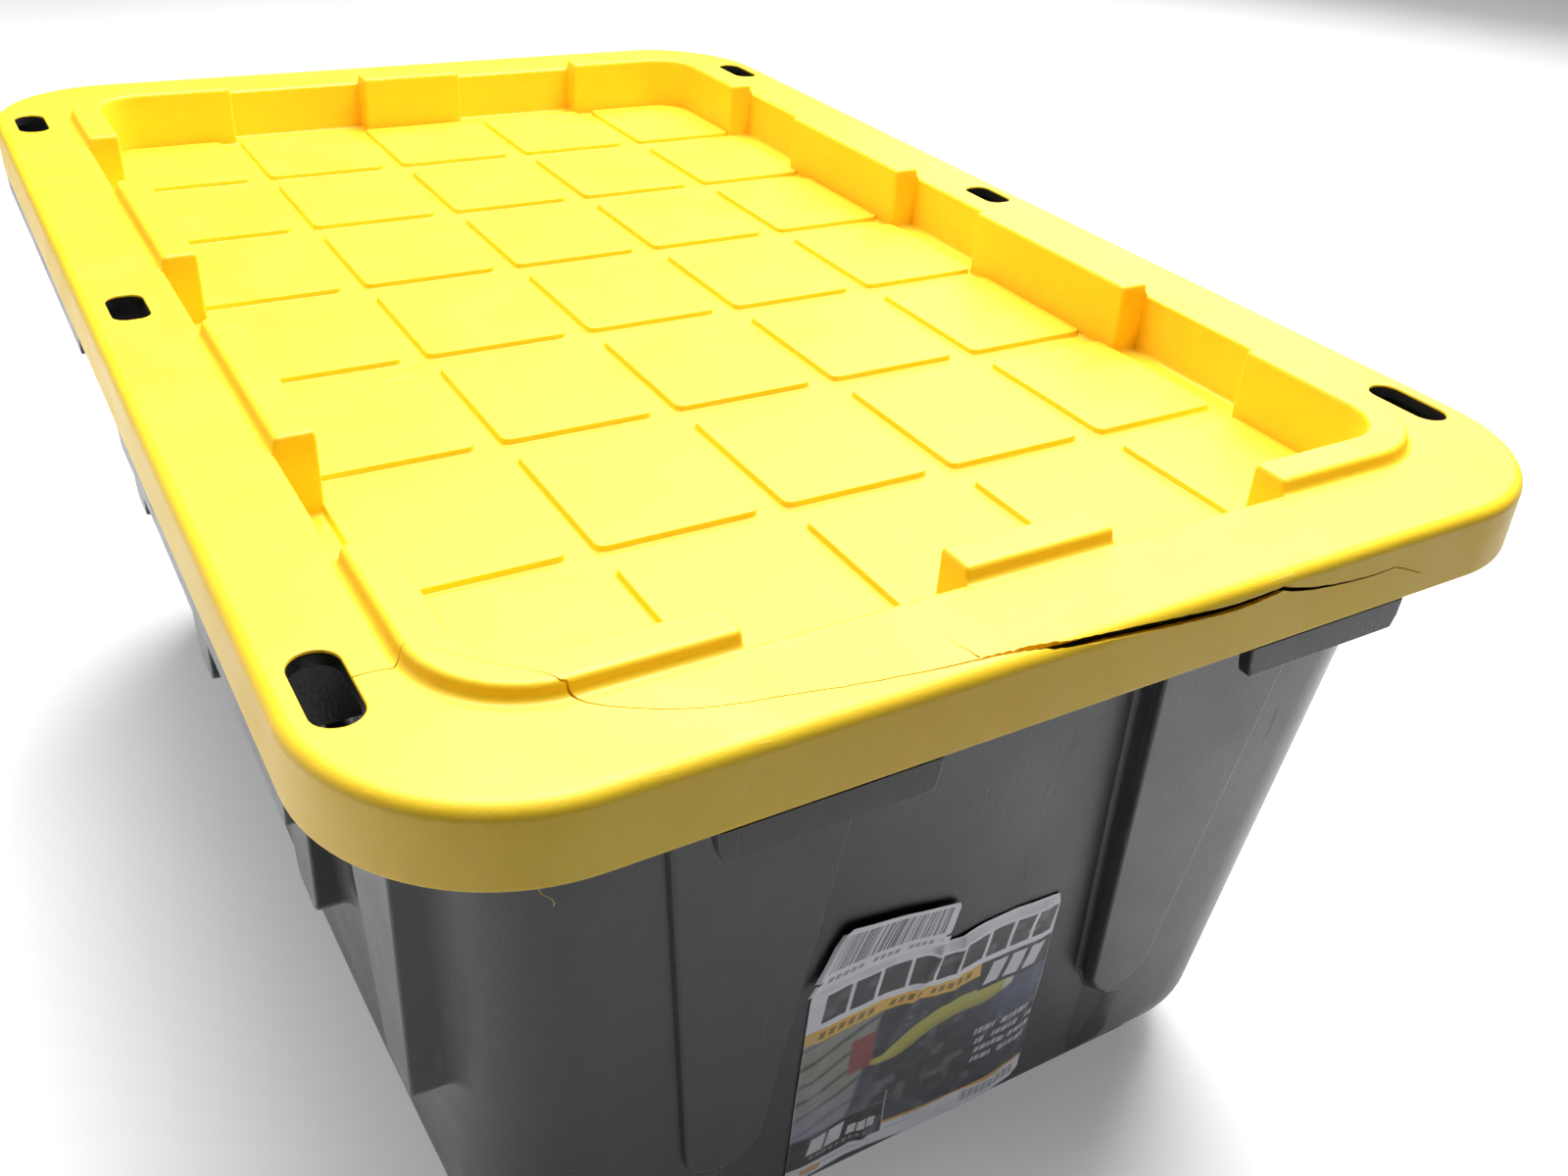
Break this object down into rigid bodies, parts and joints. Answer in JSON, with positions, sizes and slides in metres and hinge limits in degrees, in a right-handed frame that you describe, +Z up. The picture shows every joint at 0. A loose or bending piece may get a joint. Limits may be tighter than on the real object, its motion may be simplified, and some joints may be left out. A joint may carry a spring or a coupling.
{
  "type": "stackable storage bin",
  "caption": "Tapered stackable storage tote with a ribbed rim, hollow strengthening pads and a lift-off lid with a recessed tiled tray, raised stacking ridges and padlock slots.",
  "frame": {"origin": "centre of the base, on the plane the foot stands on", "axes": "+Z up, +Y along the long sides away from the labelled narrow end, +X across the narrow ends, to the right when facing the labelled end"},
  "size_m": [0.516, 0.782, 0.368],
  "materials": {
    "tub_plastic": "satin black polypropylene with a fine moulded grain and pale scuffs",
    "lid_plastic": "satin yellow polypropylene, lightly grained, with a cracked front edge",
    "label_paper": "coated printed paper, torn and creased",
    "sticker_paper": null
  },
  "bodies": {
    "tub": {"tub": "tub_plastic", "product_label": "label_paper", "barcode_sticker": "sticker_paper"},
    "lid": {"lid": "lid_plastic"}
  },
  "joints": [
    {"name": "lid_lift", "type": "slide", "parent": "tub", "child": "lid", "axis": [0, 0, 1], "range_m": [0, 0.45]}
  ]
}
